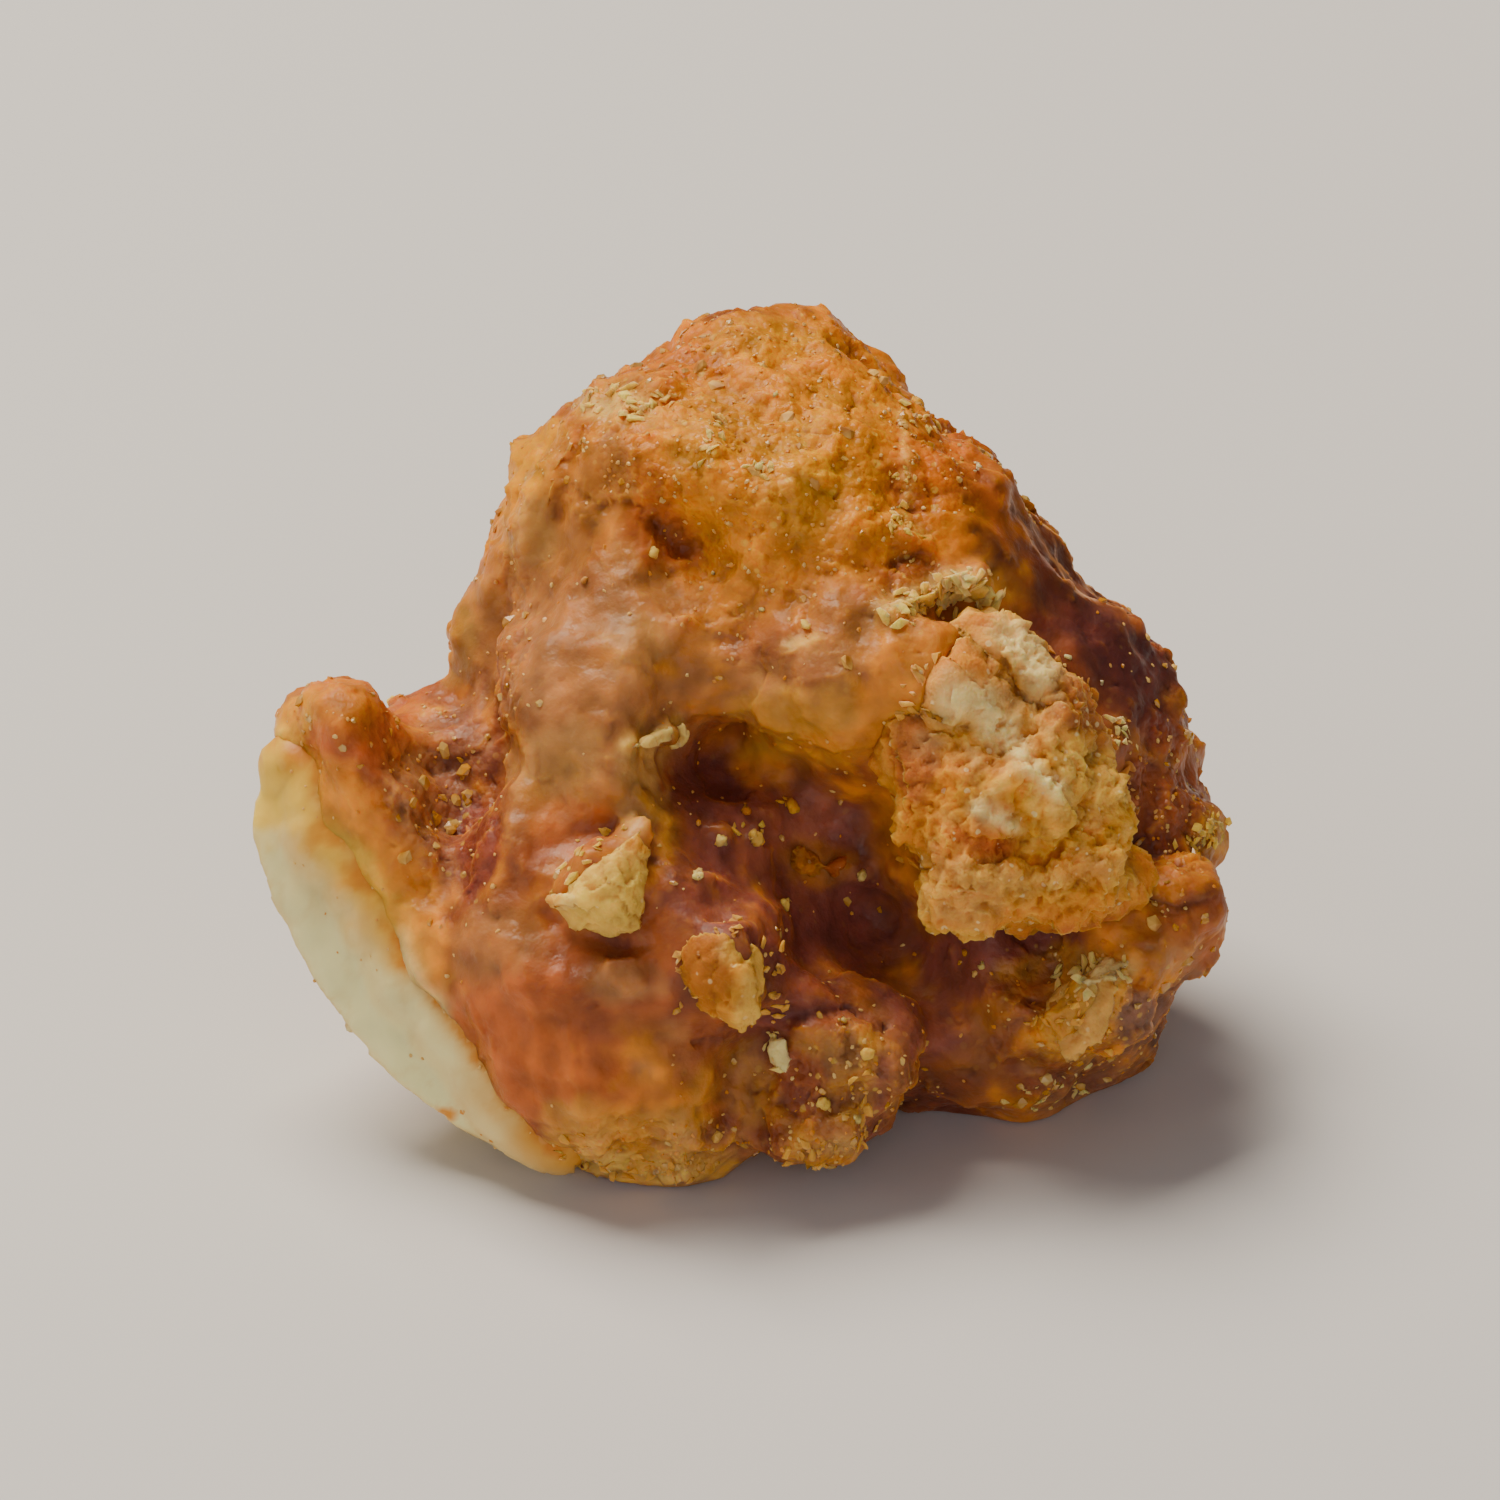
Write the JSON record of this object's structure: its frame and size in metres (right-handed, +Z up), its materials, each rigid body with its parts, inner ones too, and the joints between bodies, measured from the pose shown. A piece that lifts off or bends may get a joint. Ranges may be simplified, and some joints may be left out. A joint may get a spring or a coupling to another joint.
{
  "type": "caramelized cashew",
  "caption": "Craggy bite-size clump of cooked caramel holding a bare split cashew kernel along one side, with a crust of nut crumbs on its front.",
  "frame": {"origin": "middle of the clump's outline on the surface it lies on, at the height of its flat foot", "axes": "+X to the right along the clump's longest side with the bare kernel at -X, -Y towards the viewer and the crumb crust, +Z up"},
  "size_m": [0.027, 0.0208, 0.0196],
  "materials": {
    "caramel": "cooked amber-brown caramel with a dull sheen and fine sugar grain",
    "roasted_nut": "smooth cream split face of a roasted cashew, satin",
    "nut_crumb": "rough crushed nut and sugar, matte, ochre with cream patches"
  },
  "bodies": {
    "root": {"caramel_coat": "caramel", "cashew_kernel": "roasted_nut", "nut_crumb_cluster": "nut_crumb"}
  },
  "joints": []
}
